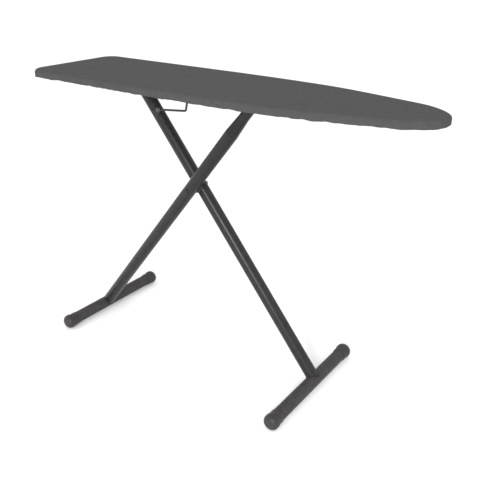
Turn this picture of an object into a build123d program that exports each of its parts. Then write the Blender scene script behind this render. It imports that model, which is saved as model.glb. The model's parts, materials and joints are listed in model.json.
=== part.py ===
from build123d import *
from math import atan2, cos, degrees, hypot, radians, sin, tan
import os

# Folding ironing board: a padded, cloth-covered steel top on two crossing
# single-tube legs with T feet. Millimetres, +Z up, +X towards the nose, the
# origin on the floor under the middle of the top. The legs are modelled open.

os.makedirs("parts", exist_ok=True)

# ---------------------------------------------------------------- the top
board_length = 1230.0
board_width = 334.0
board_height = 869.0        # floor to ironing surface
tail_corner_radius = 45.0
nose_radius = 60.0          # the outline is a chain of arcs from the nose back
nose_turn = 40.0            # degrees that each arc turns
shoulder_radius = 170.0
shoulder_turn = 36.5
waist_radius = 1100.0
waist_turn = 9.6
flank_radius = 4500.0
cover_skirt = 22.0          # depth of the cover's side, down to the hem
edge_radius = 10.0          # soft roll of the cover's top edge
cloth = 1.5                 # cloth with its foam backing, pressed flat
hem_turn = 22.0             # width of hem turned in under the rim
pad_thickness = 4.0
pad_gap = 0.2               # pad edge to the inside of the cover
sheet_gauge = 0.8
rim_gauge = 1.2
rim_depth = 14.6
rim_inset = 3.0             # rim's outer face, in from the cover's outer face
rim_lip = 10.0              # width of the rim's rolled-in lower lip
sheet_hole_radius = 6.0
sheet_hole_pitch = 44.0
rib_width = 16.0
rib_depth = 8.0
rib_wall = 1.0
rib_spread = 95.0           # long ribs, each side of the centre line
rib_margin = 6.0            # rib to the board's edge at the nose end
rib_tail_end = 90.0         # ribs start this far in from the tail
middle_rib_x = -15.0

# ---------------------------------------------------------------- the legs
pivot_drop = 46.0           # both top pivots, down from the ironing surface
leg_span = 642.5            # level distance from foot to top pivot
tail_foot_x = -535.0
nose_foot_x = 313.0
leg_gap = 9.9               # between the two leg tubes, side by side
tube_diameter = 38.1
tube_wall = 1.2
swage_diameter = 30.0       # the tail leg's drawn-down top
swage_length = 52.0
swage_taper = 64.0
tail_leg_end = 13.0         # tube past the slide pin
nose_leg_end = 19.0         # tube past the hinge pin
plug_depth = 14.0
plug_head = 2.5

foot_extra = 0.5            # foot tube over leg tube, in diameter
tail_foot_length = 432.0    # over the end caps
nose_foot_length = 444.0
cap_wall = 4.05
cap_length = 46.0
cap_nose = 13.0             # solid end of the cap, past the tube
cap_round = 12.0
floor_flat = 0.35           # depth of the flat that the cap stands on

# ---------------------------------------------------------------- pivots
pin_radius = 4.0
pin_head_radius = 7.0
running_gap = 0.05          # radial, shaft in bore
side_gap = 0.3              # between faces that pass each other
bush_wall = 2.5
spacer_radius = 20.0
cross_head_radius = 7.5
cross_head_height = 3.6
nut_radius = 6.6
nut_height = 6.5

plate = 2.0                 # gauge of the brackets
bracket_half_length = 27.0
bracket_drop = 15.0         # cheek below the hinge pin

slide_pin_radius = 3.0
block_length = 30.0         # shoe that runs in the track
hanger_length = 22.0        # and the cheek that hangs from it beside the leg
hanger_thickness = 4.5
hanger_drop = 9.0           # cheek below the slide pin
slot_gap = 0.3              # block to track, above, below and beside
slot_end_gap = 1.5
hanger_gap = 0.5            # cheek to the track's lips
track_depth = 14.0
track_lip = 5.0             # width of the track's turned-in lips
track_tab = 14.0            # tab that is riveted to the sheet, at each end

# ---------------------------------------------------------------- release lever
wire_radius = 3.2
lever_along = 98.6          # lever pin, down the nose leg from the hinge
lever_out = 31.0            # and out from the leg's centre line
grip_length = 104.9         # lever pin to the corner of the wire
grip_rise = 10.2
grip_bend = 7.0
tip_reach = 122.0           # lever pin to the crossbar at the wire's tip
crossbar_gap = 0.35         # crossbar's ends to the leg tubes that it folds in between
crossbar_radius = 3.0
eye_radius = 6.4
eye_half = 3.0              # the eye is pressed a little flatter than the wire
lever_pin_radius = 3.0
spring_room = 3.2
lug_radius = 5.0
rack_gap = 1.0              # crossbar to the rack's teeth
rack_depth = 8.5            # rack's teeth below the sheet
rack_width = 30.0
rack_tooth = 4.0
rack_pitch = 9.75
rack_teeth = 6

rivet_head_radius = 4.6
rivet_head = 1.3

# ---------------------------------------------------------------- worked out
flank_turn = 90 - nose_turn - shoulder_turn - waist_turn
taper_angle = radians(waist_turn + flank_turn)
shoulder_end_x = (
    board_length / 2
    - nose_radius * (1 - cos(radians(nose_turn)))
    - shoulder_radius * (cos(radians(nose_turn)) - sin(taper_angle))
)
shoulder_end_y = (
    nose_radius * sin(radians(nose_turn))
    + shoulder_radius * (cos(taper_angle) - sin(radians(nose_turn)))
)
tapered_width = (
    board_width / 2
    - shoulder_end_y
    - waist_radius * (cos(radians(flank_turn)) - cos(taper_angle))
    - flank_radius * (1 - cos(radians(flank_turn)))
)
taper_length = tapered_width / sin(taper_angle)

hem_z = board_height - cover_skirt
sheet_top = board_height - cloth - pad_thickness
sheet_bottom = sheet_top - sheet_gauge
rim_bottom = sheet_top - rim_depth
tube_radius = tube_diameter / 2
pivot_height = board_height - pivot_drop
leg_offset = tube_radius + leg_gap / 2      # each leg's centre line, off the middle plane
foot_radius = tube_radius + foot_extra / 2
cap_radius = foot_radius + cap_wall
foot_height = cap_radius - floor_flat
bore_radius = pin_radius + running_gap
bush_radius = bore_radius + bush_wall

leg_rise = pivot_height - foot_height
leg_length = hypot(leg_span, leg_rise)
leg_angle = atan2(leg_rise, leg_span)
slide_x = tail_foot_x + leg_span            # tail leg's pin, open
hinge_x = nose_foot_x - leg_span            # nose leg's pin, fixed
cross_x = (tail_foot_x + nose_foot_x) / 2
cross_z = foot_height + leg_rise * (cross_x - tail_foot_x) / leg_span
upper_length = (slide_x - cross_x) / cos(leg_angle)
folded_slide_x = hinge_x + 2 * upper_length
fold_degrees = degrees(leg_angle)

# The nose leg runs down from its hinge; this is its direction and its outer side.
down_x, down_z = cos(leg_angle), -sin(leg_angle)
out_x, out_z = sin(leg_angle), cos(leg_angle)
lever_x = hinge_x + lever_along * down_x + lever_out * out_x
lever_z = pivot_height + lever_along * down_z + lever_out * out_z

tip_x = lever_x + tip_reach
crossbar_half = leg_gap / 2 - crossbar_gap
rack_face = sheet_bottom - rack_depth
tip_z = rack_face - rack_gap - crossbar_radius

tail_leg_axis = Plane(
    origin=(tail_foot_x, -leg_offset, foot_height),
    x_dir=(cos(leg_angle), 0, sin(leg_angle)),
    z_dir=(0, -1, 0),
)
nose_leg_axis = Plane(
    origin=(nose_foot_x, leg_offset, foot_height),
    x_dir=(-cos(leg_angle), 0, sin(leg_angle)),
    z_dir=(0, -1, 0),
)


# ---------------------------------------------------------------- helpers
def save(built, name):
    """Label a finished piece and write its STEP file."""
    built.part.label = name
    export_step(built.part, f"parts/{name}.step")


def side_plane(y):
    """An upright plane across Y: its x is X, its y is Z and it faces -Y."""
    return Plane.XZ.offset(-y)


def level_plane(z):
    return Plane.XY.offset(z)


def board_plan(height, inset=0.0):
    """The top's outline seen from above, drawn in evenly by inset."""
    half_length = board_length / 2 - inset
    half_width = board_width / 2 - inset
    with BuildSketch(level_plane(height)) as plan:
        with BuildLine():
            nose = JernArc((half_length, 0), (0, 1), nose_radius - inset, nose_turn)
            shoulder = JernArc(nose @ 1, nose % 1, shoulder_radius - inset, shoulder_turn)
            taper = Line(shoulder @ 1, shoulder @ 1 + (shoulder % 1) * taper_length)
            waist = JernArc(taper @ 1, taper % 1, waist_radius - inset, waist_turn)
            flank = JernArc(waist @ 1, waist % 1, flank_radius - inset, flank_turn)
            side = Line(flank @ 1, (tail_corner_radius - board_length / 2, half_width))
            corner = JernArc(side @ 1, (-1, 0), tail_corner_radius - inset, 90)
            Line(corner @ 1, (-half_length, 0))
            mirror(about=Plane.XZ)
        make_face()
    return plan.sketch


def disc(x, z, radius, y_low, y_high, mode=Mode.ADD):
    """A round bar along Y, added to or cut from the part being built."""
    with BuildSketch(side_plane(y_high)) as face:
        with Locations((x, z)):
            Circle(radius)
    extrude(face.sketch, amount=y_high - y_low, mode=mode)


def flat_plate(corners, y_low, y_high, mode=Mode.ADD):
    """A plate of any outline (x, z), upright, between two Y values."""
    with BuildSketch(side_plane(y_high)) as face:
        with BuildLine():
            Polyline(corners, close=True)
        make_face()
    extrude(face.sketch, amount=y_high - y_low, mode=mode)


def block(x_low, x_high, y_low, y_high, z_low, z_high, mode=Mode.ADD):
    """A plain rectangular block between six limits."""
    with BuildSketch(level_plane(z_low)) as face:
        with Locations(((x_low + x_high) / 2, (y_low + y_high) / 2)):
            Rectangle(x_high - x_low, y_high - y_low)
    extrude(face.sketch, amount=z_high - z_low, mode=mode)


def foot_hollow(x):
    """Cut the space of a foot tube out of the leg being built."""
    disc(x, foot_height, foot_radius, -nose_foot_length, nose_foot_length, Mode.SUBTRACT)


# ---------------------------------------------------------------- cloth and pad
with BuildPart() as cover_inside:
    extrude(board_plan(hem_z + cloth, cloth), amount=cover_skirt - 2 * cloth)
    fillet(cover_inside.edges().group_by(Axis.Z)[-1], edge_radius - cloth)

with BuildPart() as cover:
    extrude(board_plan(hem_z), amount=cover_skirt)
    fillet(cover.edges().group_by(Axis.Z)[-1], edge_radius)
    add(cover_inside.part, mode=Mode.SUBTRACT)
    extrude(board_plan(hem_z, hem_turn), amount=cloth, mode=Mode.SUBTRACT)
save(cover, "cover")

elastic_inset = rim_inset + rim_lip + 2.5
with BuildPart() as hem_elastic:
    extrude(board_plan(hem_z + cloth, elastic_inset), amount=2.5)
    extrude(board_plan(hem_z + cloth, elastic_inset + 4), amount=2.5, mode=Mode.SUBTRACT)
save(hem_elastic, "hem_elastic")

pad_inset = cloth + pad_gap
with BuildPart() as pad:
    extrude(board_plan(sheet_top - edge_radius, pad_inset), amount=edge_radius + pad_thickness)
    fillet(pad.edges().group_by(Axis.Z)[-1], edge_radius - pad_inset)
    split(bisect_by=level_plane(sheet_top), keep=Keep.TOP)
save(pad, "pad")

# ---------------------------------------------------------------- steel top
sheet_inset = rim_inset + rim_gauge
hole_field = board_plan(sheet_bottom, sheet_inset + 2.5 * sheet_hole_radius).faces()[0]
hole_grid = GridLocations(
    sheet_hole_pitch,
    sheet_hole_pitch,
    int(board_length / sheet_hole_pitch),
    int(board_width / sheet_hole_pitch),
)
hole_spots = [
    (spot.position.X, spot.position.Y)
    for spot in hole_grid.locations
    if hole_field.is_inside((spot.position.X, spot.position.Y, sheet_bottom))
]

with BuildPart() as mesh_top:
    extrude(board_plan(sheet_bottom, sheet_inset), amount=sheet_gauge)
    with BuildSketch(level_plane(sheet_bottom)):
        with Locations(*hole_spots):
            Circle(sheet_hole_radius)
    extrude(amount=sheet_gauge, mode=Mode.SUBTRACT)
save(mesh_top, "mesh_top")

with BuildPart() as rim:
    extrude(board_plan(rim_bottom, rim_inset), amount=rim_depth)
    extrude(
        board_plan(rim_bottom + rim_gauge, sheet_inset),
        amount=rim_depth - rim_gauge,
        mode=Mode.SUBTRACT,
    )
    extrude(board_plan(rim_bottom, rim_inset + rim_lip), amount=rim_gauge, mode=Mode.SUBTRACT)
save(rim, "rim")

rib_low = sheet_bottom - rib_depth
rib_reach = rib_spread + rib_width / 2 + rib_margin
rib_nose_end = shoulder_end_x - (rib_reach - shoulder_end_y) / tan(taper_angle)
rib_ends = (rib_tail_end - board_length / 2, rib_nose_end)
cross_rib_spots = (
    rib_ends[0] + rib_width,
    middle_rib_x,
    rib_ends[1] - rib_width,
)


def hat_rib(x_low, x_high, y_low, y_high, along_x):
    """A pressed channel, open side up against the sheet."""
    block(x_low, x_high, y_low, y_high, rib_low, sheet_bottom)
    if along_x:
        block(x_low, x_high, y_low + rib_wall, y_high - rib_wall,
              rib_low + rib_wall, sheet_bottom, Mode.SUBTRACT)
    else:
        block(x_low + rib_wall, x_high - rib_wall, y_low, y_high,
              rib_low + rib_wall, sheet_bottom, Mode.SUBTRACT)


for side_name, side_y in (("near", -rib_spread), ("far", rib_spread)):
    with BuildPart() as long_rib:
        hat_rib(*rib_ends, side_y - rib_width / 2, side_y + rib_width / 2, True)
    save(long_rib, f"long_rib_{side_name}")

cross_rib_half = rib_spread - rib_width / 2
with BuildPart() as cross_ribs:
    for rib_x in cross_rib_spots:
        hat_rib(rib_x - rib_width / 2, rib_x + rib_width / 2,
                -cross_rib_half, cross_rib_half, False)
save(cross_ribs, "cross_ribs")

# ---------------------------------------------------------------- slide track
hanger_inner = swage_diameter / 2 + side_gap
hanger_outer = hanger_inner + hanger_thickness
track_mouth = hanger_outer + hanger_gap
track_inner = track_mouth + track_lip
track_outer = track_inner + plate
track_bottom = sheet_bottom - track_depth
slot_low = slide_x - block_length / 2 - slot_end_gap
slot_high = folded_slide_x + block_length / 2 + slot_end_gap
tab_ends = (slot_low - plate - track_tab, slot_high + plate + track_tab)

with BuildPart() as slide_track:
    block(slot_low - plate, slot_high + plate, -leg_offset - track_outer,
          -leg_offset + track_outer, track_bottom, sheet_bottom)
    block(slot_low, slot_high, -leg_offset - track_inner, -leg_offset + track_inner,
          track_bottom + plate, sheet_bottom - plate, Mode.SUBTRACT)
    block(slot_low, slot_high, -leg_offset - track_mouth, -leg_offset + track_mouth,
          track_bottom, track_bottom + plate, Mode.SUBTRACT)
    block(*tab_ends, -leg_offset - track_mouth, -leg_offset + track_mouth,
          sheet_bottom - plate, sheet_bottom)
save(slide_track, "slide_track")

# ---------------------------------------------------------------- hinge bracket
cheek_inner = tube_radius + 0.75
cheek_outer = cheek_inner + plate
bracket_low = hinge_x - bracket_half_length
bracket_high = hinge_x + bracket_half_length
cheek_corners = [
    (bracket_low, sheet_bottom),
    (bracket_high, sheet_bottom),
    (bracket_high, pivot_height + bracket_drop),
    (hinge_x + bracket_drop, pivot_height - bracket_drop),
    (hinge_x - bracket_drop, pivot_height - bracket_drop),
    (bracket_low, pivot_height + bracket_drop),
]
with BuildPart() as hinge_bracket:
    flat_plate(cheek_corners, leg_offset - cheek_outer, leg_offset + cheek_outer)
    block(bracket_low, bracket_high, leg_offset - cheek_inner, leg_offset + cheek_inner,
          pivot_height - 2 * bracket_drop, sheet_bottom - plate, Mode.SUBTRACT)
    disc(hinge_x, pivot_height, pin_radius, 0, 2 * leg_offset, Mode.SUBTRACT)
save(hinge_bracket, "hinge_bracket")

with BuildPart() as hinge_pin:
    disc(hinge_x, pivot_height, pin_radius, leg_offset - cheek_outer, leg_offset + cheek_outer + 3)
    disc(hinge_x, pivot_height, pin_head_radius,
         leg_offset - cheek_outer - plate, leg_offset - cheek_outer)
save(hinge_pin, "hinge_pin")

with BuildPart() as hinge_pin_cap:
    disc(hinge_x, pivot_height, pin_head_radius, leg_offset + cheek_outer, leg_offset + cheek_outer + 4)
    disc(hinge_x, pivot_height, pin_radius, leg_offset + cheek_outer, leg_offset + cheek_outer + 3,
         Mode.SUBTRACT)
save(hinge_pin_cap, "hinge_pin_cap")

# ---------------------------------------------------------------- height rack
rack_start = tip_x - rack_pitch
rack_stop = rack_start + rack_teeth * rack_pitch
rack_corners = [(rack_start, sheet_bottom)]
for tooth in range(rack_teeth):
    tooth_x = rack_start + tooth * rack_pitch
    rack_corners.append((tooth_x, rack_face))
    rack_corners.append((tooth_x + rack_pitch * 0.4, rack_face))
    rack_corners.append((tooth_x + rack_pitch * 0.5, rack_face + rack_tooth))
    rack_corners.append((tooth_x + rack_pitch * 0.9, rack_face + rack_tooth))
rack_corners.append((rack_stop, rack_face))
rack_corners.append((rack_stop + rack_tooth, rack_face))
rack_corners.append((rack_stop + rack_tooth, sheet_bottom))

with BuildPart() as height_rack:
    flat_plate(rack_corners, -rack_width / 2, rack_width / 2)
save(height_rack, "height_rack")


# ---------------------------------------------------------------- rivets
def rivet_group(spots, head_z):
    """Flat rivets whose heads sit on a plate's lower face, at head_z."""
    with BuildSketch(level_plane(head_z - rivet_head)) as heads:
        with Locations(*spots):
            Circle(rivet_head_radius)
    extrude(heads.sketch, amount=rivet_head)


web_face = sheet_bottom - plate
track_rivet_x = (tab_ends[0] + track_tab / 2, tab_ends[1] - track_tab / 2)
track_rivet_y = (-leg_offset - track_mouth / 2, -leg_offset + track_mouth / 2)
with BuildPart() as track_rivets:
    rivet_group([(x, y) for x in track_rivet_x for y in track_rivet_y], web_face)
save(track_rivets, "track_rivets")

bracket_rivet_x = bracket_half_length - 2 * rivet_head_radius
with BuildPart() as bracket_rivets:
    rivet_group([(hinge_x - bracket_rivet_x, leg_offset), (hinge_x + bracket_rivet_x, leg_offset)],
                web_face)
save(bracket_rivets, "bracket_rivets")

# ---------------------------------------------------------------- leg tubes
inner_radius = tube_radius - tube_wall
swage_radius = swage_diameter / 2
swage_inner = swage_radius - tube_wall
tail_tube_end = leg_length + tail_leg_end
nose_tube_end = leg_length + nose_leg_end
swage_start = tail_tube_end - swage_length
taper_start = swage_start - swage_taper

with BuildPart() as tail_leg_tube:
    with BuildSketch(tail_leg_axis):
        with BuildLine():
            Polyline(
                (0, inner_radius), (taper_start, inner_radius), (swage_start, swage_inner),
                (tail_tube_end, swage_inner), (tail_tube_end, swage_radius),
                (swage_start, swage_radius), (taper_start, tube_radius), (0, tube_radius),
                close=True,
            )
        make_face()
    revolve(axis=Axis(tail_leg_axis.origin, tail_leg_axis.x_dir))
    foot_hollow(tail_foot_x)
    disc(cross_x, cross_z, bush_radius, -2 * leg_offset, 0, Mode.SUBTRACT)
    disc(slide_x, pivot_height, slide_pin_radius, -2 * leg_offset, 0, Mode.SUBTRACT)
save(tail_leg_tube, "tail_leg_tube")

with BuildPart() as nose_leg_tube:
    with BuildSketch(nose_leg_axis):
        with BuildLine():
            Polyline(
                (0, inner_radius), (nose_tube_end, inner_radius), (nose_tube_end, tube_radius),
                (0, tube_radius), close=True,
            )
        make_face()
    revolve(axis=Axis(nose_leg_axis.origin, nose_leg_axis.x_dir))
    foot_hollow(nose_foot_x)
    disc(cross_x, cross_z, pin_radius, 0, 2 * leg_offset, Mode.SUBTRACT)
    disc(hinge_x, pivot_height, bush_radius, 0, 2 * leg_offset, Mode.SUBTRACT)
save(nose_leg_tube, "nose_leg_tube")


def tube_plug(axis_plane, tube_end, radius_in, radius_out, name):
    """A pressed-in plastic plug that closes the top of a leg tube."""
    with BuildPart() as plug:
        with BuildSketch(axis_plane):
            with BuildLine():
                Polyline(
                    (tube_end - plug_depth, 0), (tube_end + plug_head, 0),
                    (tube_end + plug_head, radius_out - plug_head),
                    (tube_end + plug_head / 3, radius_out), (tube_end, radius_out),
                    (tube_end, radius_in), (tube_end - plug_depth, radius_in), close=True,
                )
            make_face()
        revolve(axis=Axis(axis_plane.origin, axis_plane.x_dir))
        if name == "tail_leg_plug":
            disc(slide_x, pivot_height, slide_pin_radius, -2 * leg_offset, 0, Mode.SUBTRACT)
        else:
            disc(hinge_x, pivot_height, bush_radius, 0, 2 * leg_offset, Mode.SUBTRACT)
    save(plug, name)


tube_plug(tail_leg_axis, tail_tube_end, swage_inner, swage_radius, "tail_leg_plug")
tube_plug(nose_leg_axis, nose_tube_end, inner_radius, tube_radius, "nose_leg_plug")

# ---------------------------------------------------------------- feet and end caps
for foot_name, foot_x, foot_length in (
    ("tail", tail_foot_x, tail_foot_length),
    ("nose", nose_foot_x, nose_foot_length),
):
    tube_half = foot_length / 2 - cap_nose
    with BuildPart() as foot_tube:
        disc(foot_x, foot_height, foot_radius, -tube_half, tube_half)
        disc(foot_x, foot_height, foot_radius - tube_wall, -tube_half, tube_half, Mode.SUBTRACT)
    save(foot_tube, f"{foot_name}_foot_tube")

    for end_name, end in (("near", -1), ("far", 1)):
        tip_y = end * foot_length / 2
        mouth_y = tip_y - end * cap_length
        seat_y = tip_y - end * cap_nose
        with BuildPart() as end_cap:
            disc(foot_x, foot_height, cap_radius, min(tip_y, mouth_y), max(tip_y, mouth_y))
            fillet(end_cap.edges().sort_by(Axis.Y)[-1 if end > 0 else 0], cap_round)
            disc(foot_x, foot_height, foot_radius, min(seat_y, mouth_y), max(seat_y, mouth_y),
                 Mode.SUBTRACT)
            split(bisect_by=level_plane(0), keep=Keep.TOP)
        save(end_cap, f"{foot_name}_cap_{end_name}")

# ---------------------------------------------------------------- crossing pivot
tail_near_y = -leg_offset - tube_radius
tail_far_y = -leg_offset + tube_radius
nose_near_y = leg_offset - tube_radius
nose_far_y = leg_offset + tube_radius

with BuildPart() as pivot_bolt:
    disc(cross_x, cross_z, pin_radius, tail_near_y - side_gap, nose_far_y + nut_height + 1)
    disc(cross_x, cross_z, cross_head_radius,
         tail_near_y - side_gap - cross_head_height, tail_near_y - side_gap)
    fillet(pivot_bolt.edges().sort_by(Axis.Y)[0], cross_head_height * 0.8)
save(pivot_bolt, "pivot_bolt")

with BuildPart() as pivot_bush:
    disc(cross_x, cross_z, bush_radius, tail_near_y, tail_far_y)
    disc(cross_x, cross_z, bore_radius, tail_near_y, tail_far_y, Mode.SUBTRACT)
save(pivot_bush, "pivot_bush")

# The spacer fills the gap between the legs and is hollowed to sit on the nose leg.
with BuildPart() as pivot_spacer:
    disc(cross_x, cross_z, spacer_radius, tail_far_y + side_gap, leg_offset)
    with BuildSketch(nose_leg_axis):
        Rectangle(2 * nose_tube_end, tube_radius, align=(Align.CENTER, Align.MIN))
    revolve(axis=Axis(nose_leg_axis.origin, nose_leg_axis.x_dir), mode=Mode.SUBTRACT)
    disc(cross_x, cross_z, pin_radius, tail_near_y, nose_far_y, Mode.SUBTRACT)
save(pivot_spacer, "pivot_spacer")

with BuildPart() as pivot_nut:
    with BuildSketch(side_plane(nose_far_y + nut_height)) as nut_face:
        with Locations((cross_x, cross_z)):
            RegularPolygon(nut_radius, 6, major_radius=False)
            Circle(pin_radius, mode=Mode.SUBTRACT)
    extrude(amount=nut_height)
save(pivot_nut, "pivot_nut")

# ---------------------------------------------------------------- hinge bush
with BuildPart() as hinge_bush:
    disc(hinge_x, pivot_height, bush_radius, nose_near_y - side_gap, nose_far_y + side_gap)
    disc(hinge_x, pivot_height, bore_radius, 0, 2 * leg_offset, Mode.SUBTRACT)
save(hinge_bush, "hinge_bush")

# ---------------------------------------------------------------- slide pin and blocks
pin_reach = hanger_outer + side_gap
with BuildPart() as slide_pin:
    disc(slide_x, pivot_height, slide_pin_radius, -leg_offset - pin_reach, -leg_offset + pin_reach)
    disc(slide_x, pivot_height, pin_head_radius, -leg_offset - pin_reach - plate,
         -leg_offset - pin_reach)
save(slide_pin, "slide_pin")

with BuildPart() as slide_pin_cap:
    disc(slide_x, pivot_height, pin_head_radius, -leg_offset + pin_reach,
         -leg_offset + pin_reach + plate)
save(slide_pin_cap, "slide_pin_cap")

shoe_bottom = track_bottom + plate + slot_gap
for block_name, block_side in (("near", -1), ("far", 1)):
    inner_y = -leg_offset + block_side * hanger_inner
    cheek_y = -leg_offset + block_side * hanger_outer
    shoe_y = -leg_offset + block_side * (track_inner - slot_gap)
    with BuildPart() as slide_block:
        block(slide_x - block_length / 2, slide_x + block_length / 2,
              min(inner_y, shoe_y), max(inner_y, shoe_y),
              shoe_bottom, sheet_bottom - plate - slot_gap)
        block(slide_x - hanger_length / 2, slide_x + hanger_length / 2,
              min(inner_y, cheek_y), max(inner_y, cheek_y),
              pivot_height - hanger_drop, shoe_bottom)
        disc(slide_x, pivot_height, slide_pin_radius + running_gap, -3 * leg_offset, leg_offset,
             Mode.SUBTRACT)
    save(slide_block, f"slide_block_{block_name}")

# ---------------------------------------------------------------- release lever
lug_far = wire_radius + 0.4 + plate
lug_near = wire_radius + 0.4


def from_hinge(along, out):
    """A point (x, z) in the nose leg's own directions, from its hinge."""
    return (hinge_x + along * down_x + out * out_x, pivot_height + along * down_z + out * out_z)


with BuildPart() as lever_lug:
    with BuildSketch(side_plane(lug_far)) as lug_face:
        with BuildLine():
            Polyline(
                from_hinge(lever_along - 14, 0), from_hinge(lever_along - lug_radius, lever_out),
                from_hinge(lever_along + lug_radius, lever_out), from_hinge(lever_along + 14, 0),
                close=True,
            )
        make_face()
        with Locations((lever_x, lever_z)):
            Circle(lug_radius)
            Circle(lever_pin_radius, mode=Mode.SUBTRACT)
    extrude(amount=plate)
    with BuildSketch(nose_leg_axis):
        Rectangle(2 * nose_tube_end, tube_radius, align=(Align.CENTER, Align.MIN))
    revolve(axis=Axis(nose_leg_axis.origin, nose_leg_axis.x_dir), mode=Mode.SUBTRACT)
save(lever_lug, "lever_lug")

spring_near = -wire_radius - 0.2 - spring_room
with BuildPart() as lever_pin:
    disc(lever_x, lever_z, lever_pin_radius - running_gap, spring_near - 0.3, lug_far)
    disc(lever_x, lever_z, lug_radius, spring_near - plate, spring_near - 0.3)
save(lever_pin, "lever_pin")

with BuildPart() as lever_spring:
    disc(lever_x, lever_z, eye_radius, spring_near, -wire_radius - 0.2)
    disc(lever_x, lever_z, lever_pin_radius + 0.4, spring_near, -wire_radius - 0.2, Mode.SUBTRACT)
save(lever_spring, "lever_spring")

eye_join = 1.0
with BuildPart() as lever_wire:
    disc(lever_x, lever_z, eye_radius, -eye_half, eye_half)
    with BuildLine(side_plane(0)) as wire_path:
        FilletPolyline(
            (lever_x + lever_pin_radius + eye_join, lever_z),
            (lever_x + grip_length, lever_z + grip_rise),
            (tip_x, tip_z),
            radius=grip_bend,
        )
    with BuildSketch(Plane(origin=wire_path.line @ 0, z_dir=wire_path.line % 0)):
        Circle(wire_radius)
    sweep(path=wire_path.line)
    disc(tip_x, tip_z, crossbar_radius, -crossbar_half, crossbar_half)
    disc(lever_x, lever_z, lever_pin_radius, -wire_radius, wire_radius, Mode.SUBTRACT)
save(lever_wire, "lever_wire")

print("leg angle", round(fold_degrees, 3))
print("hinge", round(hinge_x, 3), "slide", round(slide_x, 3), "folded", round(folded_slide_x, 3))
print("cross", round(cross_x, 3), round(cross_z, 3), "pivots at", pivot_height)
print("rib ends", [round(v, 1) for v in rib_ends], "track", [round(v, 1) for v in tab_ends],
      round(track_bottom, 2))
print("lever pin", round(lever_x, 3), round(lever_z, 3), "foot height", round(foot_height, 3))
print("slide pin travel", round(folded_slide_x - slide_x, 3), "sheet holes", len(hole_spots))
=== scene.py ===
import json
from math import cos, pi, radians, sin, sqrt

import bmesh
import bpy
from mathutils import Matrix, Vector, kdtree, noise


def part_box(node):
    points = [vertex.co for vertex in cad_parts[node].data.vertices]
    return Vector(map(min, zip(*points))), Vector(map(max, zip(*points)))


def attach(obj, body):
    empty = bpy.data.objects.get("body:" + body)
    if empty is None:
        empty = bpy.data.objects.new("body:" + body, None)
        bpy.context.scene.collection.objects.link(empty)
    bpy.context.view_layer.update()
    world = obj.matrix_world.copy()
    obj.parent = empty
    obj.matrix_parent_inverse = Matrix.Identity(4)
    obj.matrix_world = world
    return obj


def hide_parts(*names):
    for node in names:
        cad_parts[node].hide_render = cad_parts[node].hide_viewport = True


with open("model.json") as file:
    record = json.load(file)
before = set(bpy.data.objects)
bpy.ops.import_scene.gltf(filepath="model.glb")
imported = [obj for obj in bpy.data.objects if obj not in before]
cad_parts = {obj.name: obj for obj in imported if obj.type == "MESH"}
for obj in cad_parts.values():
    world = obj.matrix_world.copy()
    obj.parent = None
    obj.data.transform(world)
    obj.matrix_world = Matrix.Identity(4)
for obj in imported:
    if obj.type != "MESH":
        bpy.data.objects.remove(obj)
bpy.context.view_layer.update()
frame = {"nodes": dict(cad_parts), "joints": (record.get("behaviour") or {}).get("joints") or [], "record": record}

MM = 0.001
ONE_BAND = 0.31416  # the scale at which a wave texture's bands are one unit apart
nodes = frame["nodes"]


# ------------------------------------------------------------------ finishes
def linear(hex_colour):
    """An sRGB hex colour as the linear RGBA that a shader wants."""
    parts = [int(hex_colour[i:i + 2], 16) / 255 for i in (1, 3, 5)]
    return [p / 12.92 if p <= 0.04045 else ((p + 0.055) / 1.055) ** 2.4 for p in parts] + [1.0]


def add(tree, kind, sockets=None, **settings):
    """A node with its settings, and each socket given a value or linked to another node's output."""
    node = tree.nodes.new("ShaderNode" + kind)
    for name, value in settings.items():
        setattr(node, name, value)
    for name, value in (sockets or {}).items():
        if isinstance(value, bpy.types.NodeSocket):
            tree.links.new(value, node.inputs[name])
        else:
            node.inputs[name].default_value = value
    return node


def blank(name):
    """An empty material with object coordinates in millimetres."""
    material = bpy.data.materials.new(name)
    material.use_nodes = True
    tree = material.node_tree
    tree.nodes.clear()
    where = add(tree, "TexCoord").outputs["Object"]
    in_mm = add(tree, "VectorMath", {0: where, 1: (1000, 1000, 1000)}, operation="MULTIPLY").outputs[0]
    return material, tree, in_mm


def blotches(tree, in_mm, size, detail=2.0, roughness=0.5):
    """Soft noise whose patches are about size millimetres across."""
    return add(tree, "TexNoise", {"Vector": in_mm, "Scale": 0.5 / size, "Detail": detail,
                                  "Roughness": roughness}).outputs["Fac"]


def tones(tree, factor, dark, light, low=0.3, high=0.7):
    """A run of colour from dark to light as the factor goes from low to high."""
    ramp = add(tree, "ValToRGB", {"Fac": factor})
    ramp.color_ramp.elements[0].position, ramp.color_ramp.elements[0].color = low, linear(dark)
    ramp.color_ramp.elements[1].position, ramp.color_ramp.elements[1].color = high, linear(light)
    return ramp.outputs["Color"]


def between(tree, factor, low, high):
    """The factor's middle range, spread from low to high."""
    return add(tree, "MapRange", {"Value": factor, "From Min": 0.3, "From Max": 0.7,
                                  "To Min": low, "To Max": high}).outputs["Result"]


def relief(tree, height, depth, strength=1.0, under=None):
    """A bump of depth millimetres, on top of another bump where there is one."""
    sockets = {"Height": height, "Distance": depth * MM, "Strength": strength}
    if under is not None:
        sockets["Normal"] = under
    return add(tree, "Bump", sockets).outputs["Normal"]


def shade(tree, sockets):
    """The surface shader and its output."""
    shader = add(tree, "BsdfPrincipled", sockets)
    add(tree, "OutputMaterial", {"Surface": shader.outputs["BSDF"]})


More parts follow.
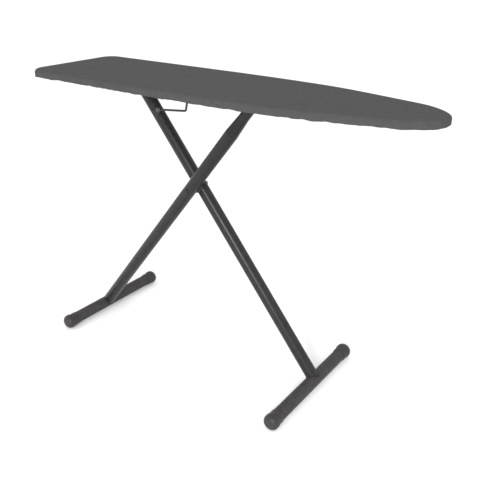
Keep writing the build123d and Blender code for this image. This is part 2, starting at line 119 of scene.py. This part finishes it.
def coated(name, dark, light, roughness, peel, depth, wear=None, **more):
    """Paint, plastic or plated metal: slow tone changes, a fine skin, uneven gloss and paler edges."""
    material, tree, in_mm = blank(name)
    colour = tones(tree, blotches(tree, in_mm, 45), dark, light)
    if wear:
        edges = add(tree, "MapRange", {"Value": add(tree, "NewGeometry").outputs["Pointiness"],
                                       "From Min": 0.53, "From Max": 0.62}).outputs["Result"]
        rubbed = add(tree, "Math", {0: edges, 1: blotches(tree, in_mm, 6)}, operation="MULTIPLY").outputs[0]
        colour = add(tree, "MixRGB", {"Fac": rubbed, "Color1": colour,
                                      "Color2": linear(wear)}).outputs["Color"]
    bump = relief(tree, blotches(tree, in_mm, peel), depth)
    bump = relief(tree, blotches(tree, in_mm, 30, 1.0), depth * 2.5, 0.5, bump)
    gloss = between(tree, blotches(tree, in_mm, 14, 3.0), *roughness)
    sockets = {"Base Color": colour, "Roughness": gloss, "Normal": bump}
    sockets.update(more)
    shade(tree, sockets)
    return material


def woven(name, dark, light, thread, depth, mottle, sheen):
    """Plain-weave cloth: two sets of threads that cross, with slubs, uneven dye and a soft surface fuzz."""
    material, tree, in_mm = blank(name)
    wander = add(tree, "TexNoise", {"Vector": in_mm, "Scale": 0.12, "Detail": 1.0}).outputs["Color"]
    bent = add(tree, "VectorMath", {0: wander, 1: (1.6, 1.6, 1.6), 2: in_mm},
               operation="MULTIPLY_ADD").outputs[0]
    band = {"Scale": ONE_BAND / thread, "Distortion": 0.6, "Detail": 1.0, "Detail Scale": 0.6}
    warp = add(tree, "TexWave", {"Vector": bent, **band}, bands_direction="X").outputs["Fac"]
    weft = add(tree, "TexWave", {"Vector": bent, **band}, bands_direction="Y").outputs["Fac"]
    weave = add(tree, "Math", {0: warp, 1: weft}, operation="MAXIMUM").outputs[0]
    drawn_out = add(tree, "Mapping", {"Vector": in_mm, "Scale": (0.05, 0.7, 0.4)}).outputs[0]
    slubs = add(tree, "TexNoise", {"Vector": drawn_out, "Scale": 1.0, "Detail": 3.0}).outputs["Fac"]
    dye = add(tree, "Math", {0: blotches(tree, in_mm, mottle, 4.0, 0.6), 1: 0.6},
              operation="MULTIPLY").outputs[0]
    dye = add(tree, "Math", {0: slubs, 1: 0.25, 2: dye}, operation="MULTIPLY_ADD").outputs[0]
    dye = add(tree, "Math", {0: weave, 1: 0.15, 2: dye}, operation="MULTIPLY_ADD").outputs[0]
    bump = relief(tree, weave, depth, 0.7)
    bump = relief(tree, slubs, depth, 0.5, bump)
    bump = relief(tree, blotches(tree, in_mm, 22, 2.0), depth * 4, 0.5, bump)
    shade(tree, {"Base Color": tones(tree, dye, dark, light, 0.35, 0.68), "Roughness": 0.95,
                 "Specular IOR Level": 0.08, "Sheen Weight": sheen, "Sheen Roughness": 0.6, "Normal": bump})
    return material


# Cotton, plain-woven and dyed charcoal: matt, a little mottled, with a faint bloom at a low angle.
# The threads are drawn 0.9 mm apart, coarser than real ones, so that they show.
COVER_CLOTH = woven("cotton_cover_cloth_woven", "#404040", "#464646", 0.9, 0.12, 9.0, 0.02)
# Flat braided elastic: black, with a coarse, raised braid.
ELASTIC = woven("rubber_elastic_braided", "#1b1b1c", "#2b2b2c", 1.2, 0.2, 6.0, 0.05)
# Needled felt: grey and fully matt, in small clumps. It takes the cloth's pattern, wider and deeper.
FELT = woven("polyester_felt_needled", "#6b6863", "#8d8a84", 1.6, 0.5, 4.0, 0.3)
# Expanded steel sheet under powder coat: dark, satin, slightly rubbed on its edges.
SHEET_PAINT = coated("steel_sheet_powder_coated", "#282829", "#2e2e2f", (0.42, 0.55), 1.2, 0.02,
                     wear="#424243", **{"Specular IOR Level": 0.2})
# Welded steel tube under powder coat: near-black satin, with a fine orange peel and a long soft highlight.
TUBE_PAINT = coated("steel_tube_powder_coated", "#1c1c1c", "#202021", (0.26, 0.36), 1.1, 0.009,
                    wear="#333334", **{"Specular IOR Level": 0.18})
# The same coating on the foot tubes, dulled by shoes and floor dust to a rougher gloss; its paler grey is painted
# light, as the level feet catch more light from above than the steep legs.
FOOT_PAINT_PAINTED_LIGHT = coated("steel_tube_powder_coated_rougher_painted_light", "#2c2a2a", "#323030", (0.55, 0.68), 1.1, 0.009,
                    wear="#454343", **{"Specular IOR Level": 0.18})
# Injection-moulded polypropylene: satin, warm grey, with a spark-eroded skin.
CAP_PLASTIC = coated("polypropylene_end_cap_moulded", "#312f2f", "#373434", (0.4, 0.55), 0.7, 0.025,
                     wear="#454242", **{"Specular IOR Level": 0.25})
# Glass-filled nylon, moulded black: matt, faintly speckled.
DARK_PLASTIC = coated("nylon_moulded_black", "#202021", "#2c2c2d", (0.5, 0.7), 0.5, 0.03)
# Dark passivated zinc on steel: cold grey, finely crystalline, with dull patches.
ZINC = coated("steel_zinc_plated", "#55565a", "#6a6b6e", (0.45, 0.6), 0.8, 0.01, Metallic=1.0)
# Black oxide on a cold-headed bolt: near black, oily satin.
BLACK_OXIDE = coated("steel_black_oxide", "#1f1f20", "#2b2b2c", (0.3, 0.45), 0.6, 0.01,
                     wear="#4a4a4a", Metallic=0.6)
# Cold-drawn spring wire: bare steel with draw marks.
SPRING = coated("spring_steel_drawn", "#7d7f82", "#909296", (0.25, 0.4), 0.4, 0.008, Metallic=1.0)
# Steel rod dipped in black vinyl: soft, semi-matt, slightly lumpy.
DIPPED_WIRE = coated("steel_wire_vinyl_dipped", "#1c1c1d", "#262627", (0.35, 0.5), 2.5, 0.03)

FINISHES = {
    "cover_cloth": COVER_CLOTH, "elastic": ELASTIC, "felt_pad": FELT, "painted_sheet": SHEET_PAINT,
    "powder_coat": TUBE_PAINT, "cap_plastic": CAP_PLASTIC, "moulded_plastic": DARK_PLASTIC,
    "nylon": DARK_PLASTIC, "zinc_steel": ZINC, "black_steel": BLACK_OXIDE,
    "spring_steel": SPRING, "black_wire": DIPPED_WIRE,
}
for part in frame["record"]["subparts"]:
    mesh = nodes[part["node"]].data
    mesh.materials.clear()
    on_foot = part["node"].endswith("foot_tube")
    # The foot tubes take the paler copy of the tube paint: painted light for the light they catch from above.
    mesh.materials.append(FOOT_PAINT_PAINTED_LIGHT if on_foot else FINISHES[part["material_slot"]])


# ------------------------------------------------------------------ pieces
def piece(form, name, body, slot, stands_for=(), soft_edge=40, **modifiers):
    """A finished bmesh as an object that rides on a body and takes a slot's finish."""
    mesh = bpy.data.meshes.new(name)
    form.to_mesh(mesh)
    form.free()
    mesh.materials.append(FINISHES[slot])
    mesh.shade_smooth()
    mesh.set_sharp_from_angle(angle=radians(soft_edge))
    item = bpy.data.objects.new(name, mesh)
    bpy.context.scene.collection.objects.link(item)
    for kind, settings in modifiers.items():
        modifier = item.modifiers.new(kind, kind.upper())
        for key, value in settings.items():
            setattr(modifier, key, value)
    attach(item, body)
    if stands_for:
        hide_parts(*stands_for)
    return item


def tidy(form, gap=1e-6):
    """Doubles merged and faces turned outwards."""
    bmesh.ops.remove_doubles(form, verts=form.verts[:], dist=gap)
    bmesh.ops.recalc_face_normals(form, faces=form.faces[:])


def edge_run(node, height):
    """The outer edge of a CAD node at a height, as points in order from the nose."""
    form = bmesh.new()
    form.from_mesh(nodes[node].data)
    bmesh.ops.remove_doubles(form, verts=form.verts[:], dist=1e-5)
    cut = bmesh.ops.bisect_plane(form, geom=form.verts[:] + form.edges[:] + form.faces[:],
                                 plane_co=(0, 0, height), plane_no=(0, 0, 1))["geom_cut"]
    edges = {e for e in cut if isinstance(e, bmesh.types.BMEdge)}
    here = max((v for e in edges for v in e.verts), key=lambda v: v.co.x)
    run = [here.co.copy()]
    edge = next(e for e in here.link_edges if e in edges)
    while edge:
        edges.discard(edge)
        here = edge.other_vert(here)
        run.append(here.co.copy())
        edge = next((e for e in here.link_edges if e in edges), None)
    form.free()
    return run


def even(run, count):
    """A closed run of points, spaced evenly and made the same on both sides of the centre line."""
    lengths = [0.0]
    for a, b in zip(run, run[1:]):
        lengths.append(lengths[-1] + (b - a).length)
    spaced, k = [], 0
    for i in range(count):
        target = lengths[-1] * i / count
        while lengths[k + 1] < target:
            k += 1
        share = (target - lengths[k]) / max(lengths[k + 1] - lengths[k], 1e-9)
        spaced.append(run[k].lerp(run[k + 1], share))
    return [Vector(((p.x + q.x) / 2, (p.y - q.y) / 2, 0))
            for p, q in zip(spaced, [spaced[-i] for i in range(count)])]


SPINE_TAIL, SPINE_NOSE = -0.45, 0.5  # the centre line that the top's rings close on, in x


def spine(p):
    """The nearest point of the top's centre line."""
    return Vector((max(SPINE_TAIL, min(SPINE_NOSE, p.x)), 0, 0))


cover_low, cover_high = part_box("cover")
COUNT = 760  # corners in each ring round the board
outline = even(edge_run("cover", (cover_low.z + cover_high.z) / 2), COUNT)
outward = []
for i in range(COUNT):
    along = (outline[(i + 2) % COUNT] - outline[i - 2]).normalized()
    side = Vector((along.y, -along.x, 0))
    outward.append(side if side.dot(outline[i] - spine(outline[i])) > 0 else -side)


def patch(i, size, seed):
    """Slow random swelling, from -1 to 1, along the board's edge."""
    p = outline[i] / size
    return 2 * noise.noise(Vector((p.x, p.y, seed)))


def station(i, inset, height, inner=0.0):
    """A point of the board's outline, moved in by inset, then a share of the way to the centre line."""
    p = outline[i] - outward[i] * inset
    p = p.lerp(spine(p), inner)
    return Vector((p.x, p.y, height))


def loft(stations, point):
    """Rings round the board, one extruded from the last: point(i, station) places each corner."""
    form = bmesh.new()
    place = form.verts.layers.int.new("place")
    first = bmesh.ops.create_circle(form, cap_ends=False, segments=COUNT, radius=1)["verts"]
    for i, vert in enumerate(first):
        vert[place] = i
        vert.co = point(i, stations[0])
    edges = form.edges[:]
    for values in stations[1:]:
        grown = bmesh.ops.extrude_edge_only(form, edges=edges)["geom"]
        for vert in grown:
            if isinstance(vert, bmesh.types.BMVert):
                vert.co = point(vert[place], values)
        edges = [e for e in grown if isinstance(e, bmesh.types.BMEdge) and e.is_boundary]
    return form


# ------------------------------------------------------------------ the cover
top, hem = cover_high.z, cover_low.z
ROLL = 10 * MM        # radius of the cover's top edge
HEM_WIDTH = 22 * MM   # cloth turned in under the rim
CLOTH = 1.2 * MM
MERGE = 2e-5          # corners this near to each other become one


def hem_wave(i):
    """The hem's scallops: it is drawn up a little between each pair of gathers."""
    return (1.15 * patch(i, 0.030, 5.0) + 0.45 * patch(i, 0.013, 6.0)) * MM


def cover_point(i, values):
    """Taut cloth on top and over the edge, which loosens into small gathers towards the hem."""
    inset, height, inner, slack = values
    p = station(i, inset, height, inner)
    pucker = patch(i, 0.034, 3.0) + 0.5 * patch(i, 0.015, 8.0)
    if inner == 0 and inset < 6 * MM:
        p += outward[i] * slack * (1.1 * pucker - 0.3) * MM
    p.z += slack * hem_wave(i)
    if slack == 0:
        lie = noise.noise(Vector((p.x / 0.07, p.y / 0.05, 1.7)))
        fine = noise.noise(Vector((p.x / 0.02, p.y / 0.026, 4.2)))
        p.z += (0.30 * lie + 0.07 * fine - 0.3) * MM * min(1, inset / 0.016)
    return p


# Each ring of the cover: its inset, its height, its share of the way to the centre line, and its slack.
cover_rings = [
    (HEM_WIDTH, hem - 0.3 * MM, 0, 1.1), (17 * MM, hem - 0.4 * MM, 0, 1.1),
    (12 * MM, hem - 0.4 * MM, 0, 1.05), (7 * MM, hem - 0.4 * MM, 0, 1.0),
    (3 * MM, hem - 0.3 * MM, 0, 1.0), (0.9 * MM, hem + 0.2 * MM, 0, 1.0),
    (0, hem + 1.4 * MM, 0, 1.0), (0, hem + 4.5 * MM, 0, 0.7),
    (0, hem + 8 * MM, 0, 0.35), (0, top - ROLL, 0, 0.1),
]
for k in range(1, 7):
    turn = radians(15 * k)
    cover_rings.append((ROLL * (1 - cos(turn)), top - ROLL + ROLL * sin(turn), 0, 0))
cover_rings += [(18 * MM, top, 0, 0), (30 * MM, top, 0, 0)]
for k in range(1, 16):
    cover_rings.append((30 * MM, top, k / 15, 0))
form = loft(cover_rings, cover_point)
tidy(form, MERGE)
cover_cloth = piece(form, "cover_cloth_shell", "board", "cover_cloth", ["cover"], 60,
                    Solidify={"thickness": CLOTH, "offset": -1.0, "use_even_offset": False})


def band_point(i, values):
    """The elastic that draws the hem in is a flat band that follows the cloth's gathers."""
    inset, height = values
    p = station(i, inset, height)
    p.z += 1.1 * hem_wave(i)
    return p


band_out = HEM_WIDTH - 1.0 * MM
band_in = band_out + 6 * MM
band = [(band_out, hem + 0.3 * MM), (band_out + 3 * MM, hem), (band_in, hem + 0.3 * MM),
        (band_in, hem + 1.3 * MM), (band_out, hem + 1.3 * MM), (band_out, hem + 0.3 * MM)]
form = loft(band, band_point)
tidy(form, MERGE)
hem_band = piece(form, "hem_elastic_band", "board", "elastic", ["hem_elastic"], 50)

# ------------------------------------------------------------------ the pad
pad_low, pad_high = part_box("pad")
pad_inset = pad_low.x - cover_low.x


def pad_point(i, values):
    """Felt lies flat on the sheet and is slightly lumpy on top."""
    inset, height, inner, lumps = values
    p = station(i, inset, height, inner)
    p.z += lumps * noise.noise(Vector((p.x / 0.03, p.y / 0.03, 9.0))) * MM
    return p


shares = [k / 12 for k in range(12, -1, -1)]
pad_rings = [(pad_inset + 6 * MM, pad_low.z, share, 0) for share in shares]
pad_rings += [(pad_inset + 1 * MM, pad_low.z + 0.2 * MM, 0, 0), (pad_inset, pad_low.z + 1.2 * MM, 0, 0),
              (pad_inset, pad_high.z - 1.6 * MM, 0, 0), (pad_inset + 1.5 * MM, pad_high.z - 0.6 * MM, 0, 0)]
pad_rings += [(pad_inset + 6 * MM, pad_high.z - 0.5 * MM, share, 0.4) for share in reversed(shares)]
form = loft(pad_rings, pad_point)
tidy(form, MERGE)
felt = piece(form, "felt_pad_sheet", "board", "felt_pad", ["pad"], 60)

# ------------------------------------------------------------------ the expanded-metal top
sheet_low, sheet_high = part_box("mesh_top")
edge_tree = kdtree.KDTree(COUNT)
for i, p in enumerate(outline):
    edge_tree.insert(p, i)
edge_tree.balance()


def depth_inside(p):
    """How far inside the board's outline a point is."""
    near, i, _ = edge_tree.find(Vector((p.x, p.y, 0)))
    return (near - Vector((p.x, p.y, 0))).dot(outward[i])


DIAMOND_LONG, DIAMOND_SHORT, STRAND = 19 * MM, 11 * MM, 1.9 * MM
sheet_mid = (sheet_low.z + sheet_high.z) / 2
span = sheet_high - sheet_low
cells = int(span.x / DIAMOND_LONG + span.y / DIAMOND_SHORT) + 4
form = bmesh.new()
bmesh.ops.create_grid(form, x_segments=cells, y_segments=cells, size=0.5)
bmesh.ops.rotate(form, verts=form.verts[:], cent=(0, 0, 0), matrix=Matrix.Rotation(radians(45), 3, "Z"))
reach = cells / sqrt(2)
bmesh.ops.scale(form, verts=form.verts[:], vec=(DIAMOND_LONG * reach, DIAMOND_SHORT * reach, 1))
bmesh.ops.translate(form, verts=form.verts[:], vec=((sheet_low.x + sheet_high.x) / 2, 0, sheet_mid))
outside = [f for f in form.faces if depth_inside(f.calc_center_median()) < 8 * MM
           or not sheet_low.x < f.calc_center_median().x < sheet_high.x]
bmesh.ops.delete(form, geom=outside, context="FACES")
holes = form.faces[:]
bmesh.ops.inset_individual(form, faces=holes, thickness=STRAND / 2, use_even_offset=True)
bmesh.ops.delete(form, geom=holes, context="FACES")
piece(form, "mesh_top_lattice", "board", "painted_sheet", ["mesh_top"], 30,
      Solidify={"thickness": span.z, "offset": 0.0, "use_even_offset": False})

sheet_edge = sheet_low.x - cover_low.x
plain_edge = sheet_edge + 16 * MM  # the sheet's margin without openings
border = [(sheet_edge, sheet_low.z), (plain_edge, sheet_low.z), (plain_edge, sheet_high.z),
          (sheet_edge, sheet_high.z), (sheet_edge, sheet_low.z)]
form = loft(border, lambda i, values: station(i, *values))
tidy(form, MERGE)
piece(form, "mesh_top_border", "board", "painted_sheet", (), 30)


# ------------------------------------------------------------------ end caps
def quarter(a, r, radius, start, stop, steps=6):
    """Corners of an arc in the (along, out) plane, from one angle to another."""
    return [(a + radius * cos(radians(start + (stop - start) * k / steps)),
             r + radius * sin(radians(start + (stop - start) * k / steps))) for k in range(steps + 1)]


def end_cap(node, body):
    """A push-on cap: a slim sleeve on the tube, a step, then a rounded bulb with a flat to stand on."""
    low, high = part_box(node)
    radius = (high.x - low.x) / 2
    centre = Vector(((low.x + high.x) / 2, 0, high.z - radius))
    length = high.y - low.y
    outer, facing = (high.y, 1) if high.y > -low.y else (low.y, -1)
    tube_low, tube_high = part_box(f"{body.removesuffix('_leg')}_foot_tube")
    bore = (tube_high.x - tube_low.x) / 2 + 0.1 * MM
    sleeve = bore + 1.7 * MM
    step = 0.50 * length
    profile = [(33 * MM, 0.0), (33 * MM, bore), (0.6 * MM, bore), (0.0, bore + 0.5 * MM)]
    profile += quarter(1.0 * MM, sleeve - 1.0 * MM, 1.0 * MM, 180, 90, 4)
    profile += [(step - 2.2 * MM, sleeve)]
    profile += quarter(step + 2.2 * MM, radius - 2.2 * MM, 2.2 * MM, 170, 90, 5)
    profile += quarter(length - 15 * MM, radius - 15 * MM, 15 * MM, 80, 10, 10)
    profile += [(length - 0.15 * MM, radius - 16.2 * MM), (length - 0.1 * MM, 5 * MM),
                (length - 0.6 * MM, 4.2 * MM), (length - 0.6 * MM, 0.0)]
    form = bmesh.new()
    verts = [form.verts.new((centre.x + r, outer - facing * (length - a), centre.z)) for a, r in profile]
    edges = [form.edges.new(pair) for pair in zip(verts, verts[1:])]
    bmesh.ops.spin(form, geom=verts + edges, cent=centre, axis=(0, 1, 0), angle=2 * pi, steps=72,
                   use_merge=True)
    tidy(form)
    cut = bmesh.ops.bisect_plane(form, geom=form.verts[:] + form.edges[:] + form.faces[:],
                                 plane_co=(0, 0, low.z), plane_no=(0, 0, -1), clear_outer=True)["geom_cut"]
    bmesh.ops.edgenet_fill(form, edges=[e for e in cut if isinstance(e, bmesh.types.BMEdge)])
    tidy(form)
    return piece(form, node + "_moulding", body, "cap_plastic", [node], 32)


for leg in ("tail", "nose"):
    for side in ("near", "far"):
        end_cap(f"{leg}_cap_{side}", f"{leg}_leg")


# ------------------------------------------------------------------ welds
BEAD = 1.3 * MM                   # radius of the bead
RIPPLE_DEPTH, RIPPLES = 0.06, 44  # as a share of the bead, and radians of ripple in half a turn


def weld_bead(leg, lean):
    """The rippled bead where a leg tube meets the top of its foot tube."""
    foot_low, foot_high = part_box(f"{leg}_foot_tube")
    foot = Vector(((foot_low.x + foot_high.x) / 2, 0, (foot_low.z + foot_high.z) / 2))
    foot_radius = (foot_high.x - foot_low.x) / 2
    leg_low, leg_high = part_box(f"{leg}_leg_tube")
    leg_radius = (leg_high.y - leg_low.y) / 2
    foot.y = (leg_high.y + leg_low.y) / 2
    across = Vector((0, 1, 0))
    square = lean.cross(across)
    form = bmesh.new()
    bmesh.ops.create_circle(form, cap_ends=False, segments=10, radius=BEAD)
    turn = Matrix((lean, across, across.cross(lean))).transposed()
    for vert in form.verts:
        vert.co = foot + turn @ vert.co + across * leg_radius
    bmesh.ops.spin(form, geom=form.verts[:] + form.edges[:], cent=foot, axis=lean, angle=2 * pi, steps=140,
                   use_merge=True)
    for vert in form.verts:
        off = vert.co - foot
        lift = off.dot(lean)
        flat = off - lean * lift
        share = flat.normalized().dot(square)
        ripple = 1 + RIPPLE_DEPTH * sin(noise.noise(vert.co * 60) * 4 + RIPPLES * flat.angle(across) / pi)
        core = flat.normalized() * leg_radius
        rise = sqrt(max(foot_radius ** 2 - (leg_radius * share) ** 2, 0))
        vert.co = foot + core + (flat - core) * ripple + lean * (lift * ripple + rise)
    tidy(form)
    return piece(form, f"{leg}_foot_weld", f"{leg}_leg", "powder_coat", (), 60)


joints = {joint["name"]: joint for joint in frame["joints"]}
hinge, slide = Vector(joints["fold"]["pos_m"]), Vector(joints["slide_turn"]["pos_m"])
crossing = Vector(joints["cross"]["pos_m"])
for leg, high_end in (("tail", slide), ("nose", hinge)):
    lean = high_end - crossing
    lean.y = 0
    weld_bead(leg, lean.normalized())


# ------------------------------------------------------------------ the spacer at the crossing
spacer_low, spacer_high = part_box("pivot_spacer")
form = bmesh.new()
profile = [(spacer_low.y, 5.0 * MM), (spacer_low.y, 15.2 * MM), (spacer_low.y + 0.6 * MM, 16.6 * MM),
           (spacer_low.y + 2.0 * MM, 17.4 * MM), (spacer_low.y + 9 * MM, 17.6 * MM),
           (spacer_high.y - 10 * MM, 16.5 * MM), (spacer_high.y - 10 * MM, 5.0 * MM),
           (spacer_low.y, 5.0 * MM)]
verts = [form.verts.new((crossing.x + r, y, crossing.z)) for y, r in profile]
edges = [form.edges.new(pair) for pair in zip(verts, verts[1:])]
bmesh.ops.spin(form, geom=verts + edges, cent=(crossing.x, 0, crossing.z), axis=(0, 1, 0),
               angle=2 * pi, steps=64, use_merge=True)
tidy(form)
piece(form, "pivot_spacer_moulding", "nose_leg", "nylon", ["pivot_spacer"], 32)

# ------------------------------------------------------------------ the lever's spring
spring_low, spring_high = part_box("lever_spring")
axle = (spring_low + spring_high) / 2
coil_wire = 0.5 * MM
coil_turns, steps_per_turn = 3, 36
coil_radius = (spring_high.x - spring_low.x) / 2 - coil_wire
steps = steps_per_turn * coil_turns
rise = (spring_high.y - spring_low.y - 2 * coil_wire) / steps
form = bmesh.new()
bmesh.ops.create_circle(form, cap_ends=True, segments=8, radius=coil_wire)
bmesh.ops.translate(form, verts=form.verts[:], vec=(axle.x + coil_radius, spring_low.y + coil_wire, axle.z))
bmesh.ops.spin(form, geom=form.verts[:] + form.edges[:] + form.faces[:], cent=(axle.x, 0, axle.z),
               axis=(0, 1, 0), dvec=(0, rise, 0), angle=2 * pi * coil_turns, steps=steps)
tidy(form)
piece(form, "lever_spring_coil", "lever_pivot", "spring_steel", ["lever_spring"], 60)

# ------------------------------------------------------------------ floor, light and camera
form = bmesh.new()
bmesh.ops.create_grid(form, x_segments=1, y_segments=1, size=9)
mesh = bpy.data.meshes.new("studio_floor")
form.to_mesh(mesh)
form.free()
floor = bpy.data.objects.new("studio_floor", mesh)
bpy.context.scene.collection.objects.link(floor)
# Matt white studio board: pale, with no gloss.
paper, tree, in_mm = blank("studio_board_white")
shade(tree, {"Base Color": linear("#fbfbfb"), "Roughness": 0.9, "Specular IOR Level": 0.1})
mesh.materials.append(paper)

world = bpy.data.worlds.new("studio")
bpy.context.scene.world = world
world.use_nodes = True
world.node_tree.nodes["Background"].inputs["Color"].default_value = (1, 1, 1, 1)
world.node_tree.nodes["Background"].inputs["Strength"].default_value = 1.12


def lamp(name, place, aim, size, power):
    """A rectangular softbox that faces a point."""
    light = bpy.data.lights.new(name, "AREA")
    light.shape = "RECTANGLE"
    light.size, light.size_y = size
    light.energy = power
    item = bpy.data.objects.new(name, light)
    item.location = place
    item.rotation_euler = (Vector(aim) - Vector(place)).to_track_quat("-Z", "Y").to_euler()
    bpy.context.scene.collection.objects.link(item)


# The front softbox draws the highlight on the nose leg below the crossing. The other one only fills.
lamp("front_softbox", (1.4, -3.0, 1.62), (0, 0, 0.6), (0.7, 0.8), 88)
lamp("side_softbox", (-2.4, -2.2, 1.1), (0, 0, 0.5), (0.8, 1.6), 6)

view = bpy.data.cameras.new("view")
view.sensor_width = 36
view.lens = 45.99
view.shift_x, view.shift_y = 0.0026, -0.0011
camera = bpy.data.objects.new("view", view)
target = Vector((0.0576, 0, 0.4174))
azimuth, elevation, distance = radians(36.34), radians(25.26), 1.8155
level = distance * cos(elevation)
camera.location = target + Vector((level * sin(azimuth), -level * cos(azimuth), distance * sin(elevation)))
camera.rotation_euler = (target - camera.location).to_track_quat("-Z", "Y").to_euler()
bpy.context.scene.collection.objects.link(camera)
bpy.context.scene.camera = camera
bpy.context.scene.view_settings.view_transform = "Standard"
